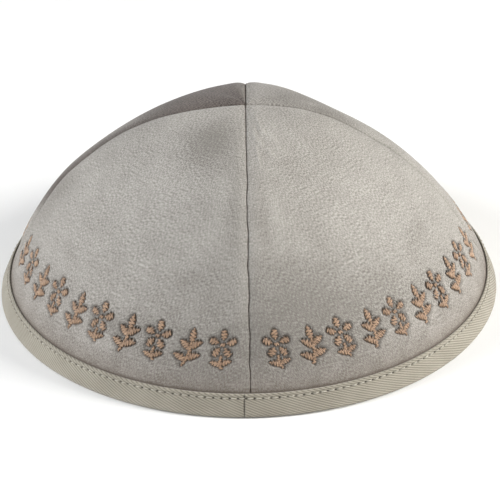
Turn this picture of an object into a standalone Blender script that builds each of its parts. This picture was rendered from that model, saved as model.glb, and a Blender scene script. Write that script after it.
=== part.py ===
"""Kippah of four velvet gores, its rim bound in a folded twill tape.

The rim rests on z = 0 and the crown rises along +Z. The four gores meet in seams that run from
the apex to +X, -X, +Y and -Y, and the seam at -Y is the front one. All sizes are in metres.
"""
import math
from typing import NamedTuple

import bmesh
import bpy
from mathutils import Vector

# Driving dimensions
RIM_RADIUS = 0.0875          # outer edge of the binding, where the kippah rests
CROWN_HEIGHT = 0.0713        # rim plane to the velvet at the apex, before the seams sink
VELVET_THICKNESS = 0.0015    # velvet and its backing
BINDING_HEIGHT = 0.0076      # how far the folded tape climbs the velvet
BINDING_THICKNESS = 0.0007   # one layer of tape, measured level
BINDING_EDGE = 0.00025       # softened corners of the tape
CLEARANCE = 0.0003           # between the velvet and the tape around it
SEAM_GAP = 0.0003            # between one gore and the next
SEAM_DEPTH = 0.0008          # how far the gores roll in where they are sewn together
SEAM_ROLL = 0.0042           # how far from the seam that roll begins

# Fineness of the faceted surfaces
GORE_COLUMNS = 20
GORE_ROWS = 20
COLUMN_CROWDING = 0.45       # 0 spaces the columns evenly, towards 1 they crowd at the seams
BINDING_STEPS = 96
SMOOTH_ANGLE = math.radians(40)
WELD_DISTANCE = 1e-6

QUARTER_TURN = math.pi / 2


class CrownLevel(NamedTuple):
    """One level of the crown: its height, each seam's reach from the axis, and the gores' fullness."""

    height: float     # share of the crown's height
    left: float       # seam at -X, share of the crown's foot radius
    right: float      # seam at +X
    front: float      # seam at -Y
    back: float       # seam at +Y
    fullness: float   # reach at mid-gore against a round section, 1 is round and less is flatter


CROWN_LEVELS = (
    #          height left   right  front  back   fullness
    CrownLevel(0.000, 1.000, 1.000, 1.000, 1.000, 1.000),
    CrownLevel(0.120, 0.957, 0.957, 0.957, 0.957, 1.000),
    CrownLevel(0.240, 0.919, 0.906, 0.912, 0.906, 0.986),
    CrownLevel(0.360, 0.872, 0.850, 0.861, 0.846, 0.964),
    CrownLevel(0.480, 0.814, 0.785, 0.800, 0.774, 0.938),
    CrownLevel(0.600, 0.743, 0.705, 0.724, 0.684, 0.912),
    CrownLevel(0.710, 0.654, 0.612, 0.633, 0.581, 0.892),
    CrownLevel(0.810, 0.550, 0.500, 0.525, 0.465, 0.884),
    CrownLevel(0.890, 0.437, 0.393, 0.415, 0.362, 0.892),
    CrownLevel(0.950, 0.309, 0.282, 0.296, 0.265, 0.916),
    CrownLevel(0.985, 0.158, 0.165, 0.161, 0.156, 0.954),
    CrownLevel(1.000, 0.000, 0.000, 0.000, 0.000, 1.000),
)
APEX_LEVEL = len(CROWN_LEVELS) - 1

# Sizes that follow from the driving ones
FOOT_RADIUS = RIM_RADIUS - BINDING_THICKNESS - CLEARANCE
HEM_HEIGHT = BINDING_THICKNESS + CLEARANCE
SHAPED_HEIGHT = 2.2 * BINDING_HEIGHT        # the crown is round up to the tape and shaped from here
LEVEL_CUT_HEIGHT = 1.5 * BINDING_HEIGHT     # below this the wall's thickness is laid off level
SQUARE_CUT_HEIGHT = 2.5 * BINDING_HEIGHT    # above this it is laid off square to the velvet
FOOT_LEAN = math.atan2(
    FOOT_RADIUS * (CROWN_LEVELS[0].front - CROWN_LEVELS[1].front),
    CROWN_HEIGHT * (CROWN_LEVELS[1].height - CROWN_LEVELS[0].height),
)
VELVET_LEVEL_THICKNESS = VELVET_THICKNESS / math.cos(FOOT_LEAN)

# Finishes: linear RGBA and roughness
VELVET_FINISH = ((0.42, 0.385, 0.35, 1.0), 0.85)
TWILL_FINISH = ((0.40, 0.36, 0.29, 1.0), 0.9)


def clear_scene():
    """Remove every object that the file holds."""
    for obj in list(bpy.data.objects):
        bpy.data.objects.remove(obj, do_unlink=True)


def fabric_material(name, finish):
    """Make a plain cloth material."""
    colour, roughness = finish
    material = bpy.data.materials.new(name)
    material.use_nodes = True
    shader = material.node_tree.nodes["Principled BSDF"]
    shader.inputs["Base Color"].default_value = colour
    shader.inputs["Roughness"].default_value = roughness
    shader.inputs["Metallic"].default_value = 0.0
    return material


def smooth_step(low, high, value):
    """Rise smoothly from 0 at low to 1 at high."""
    share = min(max((value - low) / (high - low), 0.0), 1.0)
    return share * share * (3 - 2 * share)


def curve_through(before, start, end, after, share):
    """Point at a share of the way from start to end, on a smooth curve through all four."""
    slope_in = (end - before) / 2
    slope_out = (after - start) / 2
    square = share * share
    cube = square * share
    return (
        start * (2 * cube - 3 * square + 1)
        + slope_in * (cube - 2 * square + share)
        + end * (3 * square - 2 * cube)
        + slope_out * (cube - square)
    )


def table_level(position):
    """Level at a position along the table, where the apex is at APEX_LEVEL.

    Below the first row the table runs on straight, and past the apex it comes down the other side.
    """
    index = min(int(position), APEX_LEVEL - 1)
    start = CROWN_LEVELS[index]
    end = CROWN_LEVELS[index + 1]
    if index > 0:
        before = CROWN_LEVELS[index - 1]
    else:
        before = CrownLevel(*(2 * a - b for a, b in zip(start, end)))
    if index + 2 <= APEX_LEVEL:
        after = CROWN_LEVELS[index + 2]
    else:
        after = CrownLevel(
            start.height, -start.left, -start.right, -start.front, -start.back, start.fullness
        )
    share = position - index
    return CrownLevel(*(curve_through(*four, share) for four in zip(before, start, end, after)))


def crown_level(position):
    """Crown level at a position along the table, made round where the binding goes over it."""
    level = table_level(position)
    shaped = smooth_step(BINDING_HEIGHT, SHAPED_HEIGHT, level.height * CROWN_HEIGHT)
    return CrownLevel(
        height=level.height,
        left=level.front + (level.left - level.front) * shaped,
        right=level.front + (level.right - level.front) * shaped,
        front=level.front,
        back=level.front + (level.back - level.front) * shaped,
        fullness=1 + (level.fullness - 1) * shaped,
    )


def position_at_height(height):
    """Position along the table where the crown has this height above the rim plane."""
    low = 0.0
    high = float(APEX_LEVEL)
    while high - low > WELD_DISTANCE:
        middle = (low + high) / 2
        if crown_level(middle).height * CROWN_HEIGHT < height:
            low = middle
        else:
            high = middle
    return (low + high) / 2


def even_positions(start, count):
    """Positions from start to the apex that lie evenly along the front seam."""
    fine_steps = 40 * count
    fine = [start + (APEX_LEVEL - start) * i / fine_steps for i in range(fine_steps + 1)]
    points = [
        Vector((crown_level(p).front * FOOT_RADIUS, crown_level(p).height * CROWN_HEIGHT))
        for p in fine
    ]
    lengths = [0.0]
    for here, there in zip(points, points[1:]):
        lengths.append(lengths[-1] + (there - here).length)
    positions = []
    for row in range(count + 1):
        target = lengths[-1] * row / count
        reached = min(i for i, length in enumerate(lengths) if length >= target - WELD_DISTANCE)
        positions.append(fine[reached])
    return positions


def gore_section(position, side_x, side_y, turn):
    """Plan reach and height of the velvet's face in one gore.

    position runs up the table, and turn from 0 on the seam along X to 1 on the seam along Y.
    The section is a rounded diamond whose corners are the seams.
    """
    level = crown_level(position)
    reach_x = level.right if side_x > 0 else level.left
    reach_y = level.back if side_y > 0 else level.front
    power = 2 * math.log(level.fullness / math.sqrt(2)) / math.log(0.5)
    angle = turn * QUARTER_TURN
    plan = Vector((
        reach_x * FOOT_RADIUS * max(math.cos(angle), 0.0) ** power,
        reach_y * FOOT_RADIUS * max(math.sin(angle), 0.0) ** power,
    ))
    return plan, level.height * CROWN_HEIGHT


def gore_point(position, side_x, side_y, turn, depth):
    """Point of a gore at a depth under the velvet's face, 0 on the face itself."""
    nudge = 0.02
    plan, height = gore_section(position, side_x, side_y, turn)
    reach = plan.length
    if position > APEX_LEVEL - nudge:
        face_out = Vector((0.0, 1.0))
    else:
        lower, lower_height = gore_section(max(position - nudge, 0.0), side_x, side_y, turn)
        upper, upper_height = gore_section(position + nudge, side_x, side_y, turn)
        face_out = Vector((upper_height - lower_height, lower.length - upper.length)).normalized()
    square_share = smooth_step(LEVEL_CUT_HEIGHT, SQUARE_CUT_HEIGHT, height)
    cut = Vector((1.0, 0.0)).lerp(face_out, square_share).normalized()
    from_seam = min(plan.x, plan.y)
    roll = max(1 - from_seam / SEAM_ROLL, 0.0) ** 2 * SEAM_DEPTH * square_share
    inward = depth / cut.dot(face_out)
    reach_now = reach - cut.x * inward - face_out.x * roll
    height_now = height - cut.y * inward - face_out.y * roll
    if reach > WELD_DISTANCE:
        plan = plan * (reach_now / reach)
    half_gap = SEAM_GAP / 2
    squeeze = 1 - half_gap / FOOT_RADIUS
    return Vector((
        side_x * (half_gap + plan.x * squeeze),
        side_y * (half_gap + plan.y * squeeze),
        height_now,
    ))


def build_gore(name, side_x, side_y, material):
    """One velvet gore, a closed curved wall with its hem inside the fold of the binding."""
    positions = even_positions(position_at_height(HEM_HEIGHT), GORE_ROWS)
    bm = bmesh.new()
    bmesh.ops.create_grid(bm, x_segments=GORE_COLUMNS, y_segments=GORE_ROWS, size=0.5)
    lining_side = bmesh.ops.extrude_face_region(bm, geom=bm.faces[:])["geom"]
    depths = {vert: VELVET_THICKNESS for vert in lining_side if isinstance(vert, bmesh.types.BMVert)}
    for vert in bm.verts:
        column = vert.co.x + 0.5
        row = round((vert.co.y + 0.5) * GORE_ROWS)
        turn = column - COLUMN_CROWDING * math.sin(2 * math.pi * column) / (2 * math.pi)
        vert.co = gore_point(positions[row], side_x, side_y, turn, depths.get(vert, 0.0))
    bmesh.ops.remove_doubles(bm, verts=bm.verts[:], dist=WELD_DISTANCE)
    bmesh.ops.recalc_face_normals(bm, faces=bm.faces[:])
    return mesh_object(name, bm, material)


def binding_profile():
    """Section of the folded tape at +X, as (reach, height) pairs that run round it clockwise."""
    face_out = CLEARANCE + BINDING_THICKNESS
    lining_in = VELVET_LEVEL_THICKNESS + CLEARANCE + BINDING_THICKNESS
    lip_height = BINDING_HEIGHT - BINDING_EDGE
    half_height = BINDING_HEIGHT / 2

    def beside_velvet(height, offset):
        reach = crown_level(position_at_height(height)).front * FOOT_RADIUS
        return (reach + offset, height)

    half_tape = BINDING_THICKNESS / 2
    foot_in = -lining_in + BINDING_EDGE
    return [
        beside_velvet(BINDING_HEIGHT, CLEARANCE + half_tape),
        beside_velvet(lip_height, face_out),
        beside_velvet(half_height, face_out),
        beside_velvet(BINDING_EDGE, face_out),
        beside_velvet(0.0, face_out - BINDING_EDGE),
        beside_velvet(0.0, foot_in),
        beside_velvet(BINDING_EDGE, -lining_in),
        beside_velvet(half_height, -lining_in),
        beside_velvet(lip_height, -lining_in),
        beside_velvet(BINDING_HEIGHT, -lining_in + half_tape),
        beside_velvet(lip_height, -VELVET_LEVEL_THICKNESS - CLEARANCE),
        beside_velvet(half_height, -VELVET_LEVEL_THICKNESS - CLEARANCE),
        beside_velvet(BINDING_THICKNESS, -VELVET_LEVEL_THICKNESS - CLEARANCE),
        beside_velvet(BINDING_THICKNESS, CLEARANCE),
        beside_velvet(half_height, CLEARANCE),
        beside_velvet(lip_height, CLEARANCE),
    ]


def build_binding(name, material):
    """Tape folded over the hem of the gores, turned once round the axis."""
    bm = bmesh.new()
    verts = [bm.verts.new((reach, 0.0, height)) for reach, height in binding_profile()]
    for here, there in zip(verts, verts[1:] + verts[:1]):
        bm.edges.new((here, there))
    obj = mesh_object(name, bm, material)
    turning = obj.modifiers.new("turned", "SCREW")
    turning.steps = BINDING_STEPS
    turning.render_steps = BINDING_STEPS
    turning.use_merge_vertices = True
    turning.merge_threshold = WELD_DISTANCE
    return obj


def mesh_object(name, bm, material):
    """Turn a bmesh into a smooth-shaded object."""
    mesh = bpy.data.meshes.new(name)
    bm.to_mesh(mesh)
    bm.free()
    mesh.materials.append(material)
    mesh.shade_smooth()
    mesh.set_sharp_from_angle(angle=SMOOTH_ANGLE)
    return bpy.data.objects.new(name, mesh)


def main():
    """Build the kippah into a collection of its own."""
    clear_scene()
    collection = bpy.data.collections.new("kippah")
    bpy.context.scene.collection.children.link(collection)
    velvet = fabric_material("velvet", VELVET_FINISH)
    twill = fabric_material("twill_tape", TWILL_FINISH)
    for side_y, end_name in ((-1, "front"), (1, "back")):
        for side_x, side_name in ((-1, "left"), (1, "right")):
            gore = build_gore(f"crown_gore_{end_name}_{side_name}", side_x, side_y, velvet)
            collection.objects.link(gore)
    collection.objects.link(build_binding("rim_binding", twill))


main()
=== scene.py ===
"""Looks of a velvet kippah: four gores, a folded twill binding and an embroidered border of sprigs.

The frame gives the solids, with the rim on z = 0, the crown up +Z and the front seam at -Y. Each
solid is replaced by a detailed piece of cloth. All sizes are in metres unless a name says otherwise.
"""
from __future__ import annotations

import logging
import math
from dataclasses import dataclass, field
from enum import Enum
from typing import Callable, NamedTuple, Sequence

import bmesh
import bpy
import numpy as np
from mathutils import Matrix, Vector


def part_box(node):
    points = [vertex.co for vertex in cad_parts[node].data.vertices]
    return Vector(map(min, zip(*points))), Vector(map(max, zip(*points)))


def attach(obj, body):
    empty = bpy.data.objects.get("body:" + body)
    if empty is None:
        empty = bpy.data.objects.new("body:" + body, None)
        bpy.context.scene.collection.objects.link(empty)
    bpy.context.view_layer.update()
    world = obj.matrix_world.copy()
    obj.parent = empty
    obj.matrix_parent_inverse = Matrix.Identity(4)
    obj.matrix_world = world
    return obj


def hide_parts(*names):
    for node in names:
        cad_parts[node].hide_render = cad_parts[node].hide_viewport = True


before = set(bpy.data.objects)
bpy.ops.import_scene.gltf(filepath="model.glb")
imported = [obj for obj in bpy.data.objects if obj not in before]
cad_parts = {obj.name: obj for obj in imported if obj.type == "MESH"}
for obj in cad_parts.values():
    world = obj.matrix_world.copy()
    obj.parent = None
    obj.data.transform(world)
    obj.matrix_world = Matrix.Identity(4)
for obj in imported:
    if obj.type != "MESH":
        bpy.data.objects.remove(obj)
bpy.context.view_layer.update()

LOG = logging.getLogger("kippah")
BODY = "root"
MM = 0.001
TURN = 2 * math.pi
QUARTER_TURN = math.pi / 2
WELD_DISTANCE = 1e-7


class Gore(NamedTuple):
    """One quarter of the crown and the side of each axis that it lies on."""

    name: str
    side_x: int
    side_y: int


GORES = (
    Gore("front_left", -1, -1),
    Gore("front_right", 1, -1),
    Gore("back_left", -1, 1),
    Gore("back_right", 1, 1),
)


class CrownLevel(NamedTuple):
    """One level of the crown: its height, each seam's reach and the fullness between the seams."""

    height: float     # share of the crown's height
    left: float       # share of the crown's foot radius
    right: float
    front: float
    back: float
    fullness: float   # reach at mid-gore against a round section


CROWN_LEVELS = (
    #          height left   right  front  back   fullness
    CrownLevel(0.000, 1.000, 1.000, 1.000, 1.000, 1.000),
    CrownLevel(0.120, 0.957, 0.957, 0.957, 0.957, 1.000),
    CrownLevel(0.240, 0.919, 0.906, 0.912, 0.906, 0.986),
    CrownLevel(0.360, 0.872, 0.850, 0.861, 0.846, 0.964),
    CrownLevel(0.480, 0.814, 0.785, 0.800, 0.774, 0.938),
    CrownLevel(0.600, 0.743, 0.705, 0.724, 0.684, 0.912),
    CrownLevel(0.710, 0.654, 0.612, 0.633, 0.581, 0.892),
    CrownLevel(0.810, 0.550, 0.500, 0.525, 0.465, 0.884),
    CrownLevel(0.890, 0.437, 0.393, 0.415, 0.362, 0.892),
    CrownLevel(0.950, 0.309, 0.282, 0.296, 0.265, 0.916),
    CrownLevel(0.985, 0.158, 0.165, 0.161, 0.156, 0.954),
    CrownLevel(1.000, 0.000, 0.000, 0.000, 0.000, 1.000),
)
APEX_LEVEL = len(CROWN_LEVELS) - 1


def smooth_step(low: float, high: float, value: np.ndarray) -> np.ndarray:
    """Rise smoothly from 0 at low to 1 at high.

    Args:
        low: Value at which the rise starts.
        high: Value at which it ends.
        value: Values to map.

    Returns:
        Shares from 0 to 1, one for each value.
    """
    share = np.clip((value - low) / (high - low), 0.0, 1.0)
    return share * share * (3 - 2 * share)


@dataclass(frozen=True)
class CrownShape:
    """Outer face of the velvet, a rounded diamond in plan whose corners are the seams."""

    foot_radius: float
    crown_height: float
    binding_height: float
    velvet_thickness: float = 1.5 * MM
    seam_gap: float = 0.03 * MM
    seam_depth: float = 0.8 * MM
    seam_roll: float = 4.2 * MM
    seam_cleft: float = 0.34 * MM
    cleft_width: float = 0.26 * MM
    waver_reach: float = 2.5 * MM
    stray: float = 1.6 * MM
    stray_reach: float = 9.0 * MM
    border_mid: float = 22.0 * MM
    short_waver: float = 0.09 * MM
    long_waver: float = 0.16 * MM

    def levels(self, position: np.ndarray) -> np.ndarray:
        """Rows of the crown's table at positions along it, on a smooth curve.

        Args:
            position: Positions, where 0 is the rim plane and APEX_LEVEL the apex.

        Returns:
            An array with a last axis of height, left, right, front, back and fullness.
        """
        table = np.array(CROWN_LEVELS)
        below = 2 * table[0] - table[1]
        beyond = table[-2] * np.array((1, -1, -1, -1, -1, 1))
        padded = np.vstack((below, table, beyond))
        index = np.clip(position.astype(int), 0, APEX_LEVEL - 1)
        share = (position - index)[..., None]
        before, start, end, after = (padded[index + step] for step in range(4))
        square = share * share
        cube = square * share
        level = (
            start * (2 * cube - 3 * square + 1)
            + (end - before) / 2 * (cube - 2 * square + share)
            + end * (3 * square - 2 * cube)
            + (after - start) / 2 * (cube - square)
        )
        shaped_height = 2.2 * self.binding_height
        height = level[..., :1] * self.crown_height
        shaped = smooth_step(self.binding_height, shaped_height, height)
        front = level[..., 3:4]
        seams = front + (level[..., 1:5] - front) * shaped
        fullness = 1 + (level[..., 5:] - 1) * shaped
        return np.concatenate((level[..., :1], seams, fullness), axis=-1)

    def section(self, gore: Gore, position: np.ndarray, turn: np.ndarray) -> tuple[np.ndarray, ...]:
        """Plan reaches and height of the velvet's face before its seams are rolled in.

        Args:
            gore: The gore to follow.
            position: Positions along the crown's table.
            turn: 0 on the seam along X to 1 on the seam along Y.

        Returns:
            Reach along X, reach along Y and height, each an array.
        """
        level = self.levels(position)
        reach_x = level[..., 2] if gore.side_x > 0 else level[..., 1]
        reach_y = level[..., 4] if gore.side_y > 0 else level[..., 3]
        power = 2 * np.log(level[..., 5] / math.sqrt(2)) / math.log(0.5)
        angle = turn * QUARTER_TURN
        return (
            reach_x * self.foot_radius * np.maximum(np.cos(angle), 0.0) ** power,
            reach_y * self.foot_radius * np.maximum(np.sin(angle), 0.0) ** power,
            level[..., 0] * self.crown_height,
        )

    def place(
        self,
        gore: Gore,
        position: np.ndarray,
        turn: np.ndarray,
        lift: np.ndarray | float = 0.0,
        depth: np.ndarray | float = 0.0,
    ) -> np.ndarray:
        """Points of a gore in the row frame.

        Args:
            gore: The gore to follow.
            position: Positions along the crown's table.
            turn: 0 on the seam along X to 1 on the seam along Y.
            lift: How far the point stands proud of the velvet's face.
            depth: How far into the wall it lies, which is laid off level near the hem.

        Returns:
            An array of points with a last axis of x, y and z.
        """
        nudge = 0.02
        reach_x, reach_y, height = self.section(gore, position, turn)
        reach = np.hypot(reach_x, reach_y)
        low_x, low_y, low_z = self.section(gore, np.maximum(position - nudge, 0.0), turn)
        high_x, high_y, high_z = self.section(gore, np.minimum(position + nudge, APEX_LEVEL), turn)
        out = high_z - low_z
        up = np.hypot(low_x, low_y) - np.hypot(high_x, high_y)
        at_apex = position > APEX_LEVEL - nudge
        out = np.where(at_apex, 0.0, out)
        up = np.where(at_apex, 1.0, up)
        length = np.hypot(out, up)
        out, up = out / length, up / length
        square_share = smooth_step(1.5 * self.binding_height, 2.5 * self.binding_height, height)
        cut_out = 1 + (out - 1) * square_share
        cut_up = up * square_share
        cut_length = np.hypot(cut_out, cut_up)
        cut_out, cut_up = cut_out / cut_length, cut_up / cut_length
        inward = depth / (cut_out * out + cut_up * up)
        from_seam = np.minimum(reach_x, reach_y)
        roll = np.maximum(1 - from_seam / self.seam_roll, 0.0) ** 2 * self.seam_depth * square_share
        above_tape = smooth_step(0.6 * self.binding_height, 1.1 * self.binding_height, height)
        cleft = np.exp(-((from_seam / self.cleft_width) ** 2)) * self.seam_cleft * above_tape
        rise = lift - roll - cleft
        new_reach = reach - cut_out * inward + out * rise
        new_height = height - cut_up * inward + up * rise
        scale = np.where(reach > WELD_DISTANCE, new_reach / np.maximum(reach, WELD_DISTANCE), 1.0)
        half_gap = self.seam_gap / 2
        squeeze = 1 - half_gap / self.foot_radius
        x_seam = self.waver(height, gore.side_x) * np.exp(-reach_y / self.waver_reach)
        if gore.side_x < 0:
            low, high = 0.22 * self.crown_height, 0.75 * self.crown_height
            middle = (height - low) / (high - low)
            stretch = np.sin(math.pi * np.clip(middle, 0.0, 1.0)) ** 2
            x_seam = x_seam + self.stray * stretch * np.exp(-reach_y / self.stray_reach)
        y_seam = self.waver(height, 2 * gore.side_y) * np.exp(-reach_x / self.waver_reach)
        return np.stack(
            (
                gore.side_x * (half_gap + reach_x * scale * squeeze) + y_seam,
                gore.side_y * (half_gap + reach_y * scale * squeeze) + x_seam,
                new_height,
            ),
            axis=-1,
        )

    def waver(self, height: np.ndarray, seam: int) -> np.ndarray:
        """How far a seam strays sideways on its way up.

        Args:
            height: Height above the rim plane.
            seam: A number of its own for each seam, which sets where it strays.

        Returns:
            Distances to the side.
        """
        short, long = height / (0.85 * MM) + seam, height / (2.1 * MM) + 1.7 * seam
        free = smooth_step(1.2 * self.binding_height, 1.7 * self.binding_height, height)
        below_apex = 1 - smooth_step(0.93 * self.crown_height, 0.99 * self.crown_height, height)
        strayed = self.short_waver * np.sin(short) + self.long_waver * np.sin(long)
        return strayed * free * below_apex

    def climb_table(self) -> tuple[np.ndarray, np.ndarray]:
        """Positions along the table and the way up the front seam from the rim plane to each."""
        position = np.linspace(0.0, APEX_LEVEL, 1200)
        level = self.levels(position)
        reach = level[:, 3] * self.foot_radius
        height = level[:, 0] * self.crown_height
        steps = np.hypot(np.diff(reach), np.diff(height))
        return position, np.concatenate(((0.0,), np.cumsum(steps)))

    def position_at(self, climb: np.ndarray) -> np.ndarray:
        """Position along the table at a way up the front seam."""
        position, climbed = self.climb_table()
        return np.interp(climb, climbed, position)

    def climb_at(self, position: np.ndarray) -> np.ndarray:
        """Way up the front seam at a position along the table."""
        table_position, climbed = self.climb_table()
        return np.interp(position, table_position, climbed)

    def width_table(self, gore: Gore, climb: float) -> tuple[np.ndarray, np.ndarray]:
        """Turns across a gore and the way round from its X seam to each.

        Args:
            gore: The gore to measure.
            climb: How far up from the rim plane it is measured.

        Returns:
            The turns, and the way round to each of them.
        """
        turn = np.linspace(0.0, 1.0, 600)
        position = np.full_like(turn, float(self.position_at(np.array(climb))))
        reach_x, reach_y, _ = self.section(gore, position, turn)
        steps = np.hypot(np.diff(reach_x), np.diff(reach_y))
        return turn, np.concatenate(((0.0,), np.cumsum(steps)))

    def border_width(self, gore: Gore) -> float:
        """Way round one gore at the middle of the embroidered border."""
        return float(self.width_table(gore, self.border_mid)[1][-1])

    def turn_at(self, gore: Gore, along: np.ndarray) -> np.ndarray:
        """Turn at a way along the border from the gore's middle."""
        turn, way = self.width_table(gore, self.border_mid)
        return np.interp(along + way[-1] / 2, way, turn)

    def along_at(self, gore: Gore, turn: np.ndarray) -> np.ndarray:
        """Way along the border from the gore's middle at a turn."""
        table_turn, way = self.width_table(gore, self.border_mid)
        return np.interp(turn, table_turn, way) - way[-1] / 2


class Taper(Enum):
    """How a satin-stitched shape narrows towards its ends."""

    LEAF = "leaf"
    PETAL = "petal"
    STEM = "stem"

    def share(self, along: np.ndarray) -> np.ndarray:
        """Share of the full width at shares along the shape, from its root at 0 to its tip at 1."""
        if self is Taper.LEAF:
            return np.sin(math.pi * along**0.85) ** 0.8
        if self is Taper.PETAL:
            return np.sin(math.pi * along**1.35) ** 0.6
        return 0.72 + 0.28 * np.sin(math.pi * np.clip(along, 0.04, 0.96))


class Stroke(NamedTuple):
    """One satin-stitched shape, its path and width in millimetres, and the lean of its threads."""

    path: tuple[tuple[float, float], ...]
    width: float
    taper: Taper
    lean: float = 0.25


def ray(x: float, y: float, angle: float, length: float, bend: float = 0.0) -> tuple:
    """Path of a leaf or petal from its root.

    Args:
        x: Root, along the border.
        y: Root, up the crown.
        angle: Direction in degrees, anticlockwise from along the border.
        length: How long it is.
        bend: How far its middle stands to the left of the straight line.

    Returns:
        Three points: root, middle and tip.
    """
    way = math.radians(angle)
    ahead = (math.cos(way), math.sin(way))
    middle = (
        x + ahead[0] * length / 2 - ahead[1] * bend,
        y + ahead[1] * length / 2 + ahead[0] * bend,
    )
    return ((x, y), middle, (x + ahead[0] * length, y + ahead[1] * length))


class Motif(Enum):
    """The two ornaments of the border, each of satin-stitched strokes."""

    SPRIG = (
        Stroke(((-0.9, 0.0), (0.5, 3.6), (0.7, 7.6)), 1.25, Taper.STEM),
        Stroke(ray(-0.1, 1.4, 154, 4.5, -0.5), 2.5, Taper.LEAF),
        Stroke(ray(0.2, 2.2, 20, 4.6, 0.5), 2.5, Taper.LEAF),
        Stroke(ray(0.5, 5.1, 142, 4.4, -0.5), 2.4, Taper.LEAF),
        Stroke(ray(0.8, 5.7, 32, 4.4, 0.5), 2.4, Taper.LEAF),
        Stroke(ray(0.8, 7.6, 92, 4.6), 2.4, Taper.LEAF),
    )
    BLOSSOM = (
        Stroke(((0.7, 0.0), (-0.2, 1.9), (0.0, 4.2)), 1.2, Taper.STEM),
        Stroke(ray(0.2, 0.8, 162, 3.6, -0.4), 2.0, Taper.LEAF),
        Stroke(ray(0.1, 1.2, 22, 3.6, 0.4), 2.0, Taper.LEAF),
        *(Stroke(ray(
            1.5 * math.cos(math.radians(step * 72 + 90)),
            7.9 + 1.5 * math.sin(math.radians(step * 72 + 90)),
            step * 72 + 90, 3.1,
        ), 2.5, Taper.PETAL) for step in range(5)),
        Stroke(((-0.7, 7.9), (0.0, 7.9), (0.7, 7.9)), 1.3, Taper.STEM, 0.0),
    )


class Satin(NamedTuple):
    """Threads of a border laid flat: both ends and how far the middle stands up."""

    left: np.ndarray
    right: np.ndarray
    rise: np.ndarray


def smooth_path(path: Sequence[tuple[float, float]], step: float) -> np.ndarray:
    """Points spaced evenly along a curve through three points.

    Args:
        path: Root, middle and tip.
        step: Spacing of the points.

    Returns:
        An array of points.
    """
    root, middle, tip = (np.array(point) for point in path)
    pull = 2 * middle - (root + tip) / 2
    share = np.linspace(0, 1, 60)[:, None]
    fine = (1 - share) ** 2 * root + 2 * share * (1 - share) * pull + share**2 * tip
    way = np.concatenate(((0.0,), np.cumsum(np.hypot(*np.diff(fine, axis=0).T))))
    count = max(round(way[-1] / step), 3)
    stops = (np.arange(count) + 0.5) * way[-1] / count
    return np.stack([np.interp(stops, way, fine[:, axis]) for axis in range(2)], axis=-1)


@dataclass(frozen=True)
class BorderPlan:
    """Where the border's motifs stand, worked out flat in one gore."""

    shape: CrownShape
    foot: float = 15.9 * MM
    motifs_in_gore: int = 10
    seam_margin: float = 3.4 * MM
    thread_step: float = 0.52 * MM
    zigzag: float = 0.36
    reach: float = 3.0 * MM

    def strokes(self, gore: Gore) -> list[tuple[np.ndarray, np.ndarray, Stroke]]:
        """Every stroke of a gore's border.

        Args:
            gore: The gore that carries them.

        Returns:
            For each stroke its centreline, half-widths along it, and the stroke itself.
        """
        width = self.shape.border_width(gore) - 2 * self.seam_margin
        pitch = width / self.motifs_in_gore
        # The way along runs from the X seam to the Y seam, so it runs leftwards on two gores.
        hand = gore.side_x * gore.side_y
        found = []
        for number in range(self.motifs_in_gore):
            motif = Motif.SPRIG if number % 2 == 0 else Motif.BLOSSOM
            middle = (number + 0.5) * pitch - width / 2
            for stroke in motif.value:
                line = smooth_path(stroke.path, self.thread_step / MM) * MM
                share = (np.arange(len(line)) + 0.5) / len(line)
                half = stroke.width * MM / 2 * stroke.taper.share(share)
                line[:, 0] = middle + hand * line[:, 0]
                line[:, 1] += self.foot
                found.append((line, half, stroke))
        return found

    def distance(self, gore: Gore, along: np.ndarray, climb: np.ndarray) -> np.ndarray:
        """Distance from points of a gore to the nearest edge of the embroidery.

        Args:
            gore: The gore they are on.
            along: Way along the border from the gore's middle.
            climb: Way up from the rim plane.

        Returns:
            Distances, negative inside the embroidery.
        """
        nearest = np.full(along.shape, self.reach)
        places = np.stack((along, climb), axis=-1)
        for line, half, _ in self.strokes(gore):
            margin = self.reach + half.max()
            low, high = line.min(axis=0) - margin, line.max(axis=0) + margin
            close = np.flatnonzero(((places > low) & (places < high)).all(axis=-1))
            gaps = np.linalg.norm(places[close, None] - line, axis=-1) - half
            nearest[close] = np.minimum(nearest[close], gaps.min(axis=-1))
        return nearest

    def satin(self, gore: Gore) -> Satin:
        """Threads that fill a gore's strokes.

        Args:
            gore: The gore that carries them.

        Returns:
            The threads, flat, in ways along and up the border.
        """
        left, right, rise = [], [], []
        for line, half, stroke in self.strokes(gore):
            ahead = np.gradient(line, axis=0)
            ahead /= np.hypot(*ahead.T)[:, None]
            across = np.stack((-ahead[:, 1], ahead[:, 0]), axis=-1)
            across = across + ahead * stroke.lean
            # Neighbouring threads share a needle hole, on one edge and then on the other.
            shift = self.zigzag * self.thread_step * np.where(np.arange(len(line)) % 2, -1, 1)
            left.append(line + across * half[:, None] + ahead * shift[:, None])
            right.append(line - across * half[:, None] - ahead * shift[:, None])
            rise.append(0.14 * MM + 0.2 * half)
        return Satin(np.concatenate(left), np.concatenate(right), np.concatenate(rise))


def spread(count: int, length: float, density: Callable[[np.ndarray], np.ndarray]) -> np.ndarray:
    """Stops along a length, closest together where a density is highest.

    Args:
        count: How many steps there are.
        length: The length they fill.
        density: Gives the density at an array of places.

    Returns:
        The stops, one more than the steps.
    """
    fine = np.linspace(0, length, 4000)
    weight = density(fine)
    total = np.concatenate(((0.0,), np.cumsum((weight[1:] + weight[:-1]) / 2)))
    return np.interp(np.linspace(0, total[-1], count + 1), total, fine)


def read_points(mesh: bpy.types.Mesh) -> np.ndarray:
    """Places of a mesh's points, one row each."""
    points = np.empty(len(mesh.vertices) * 3)
    mesh.vertices.foreach_get("co", points)
    return points.reshape(-1, 3)


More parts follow.
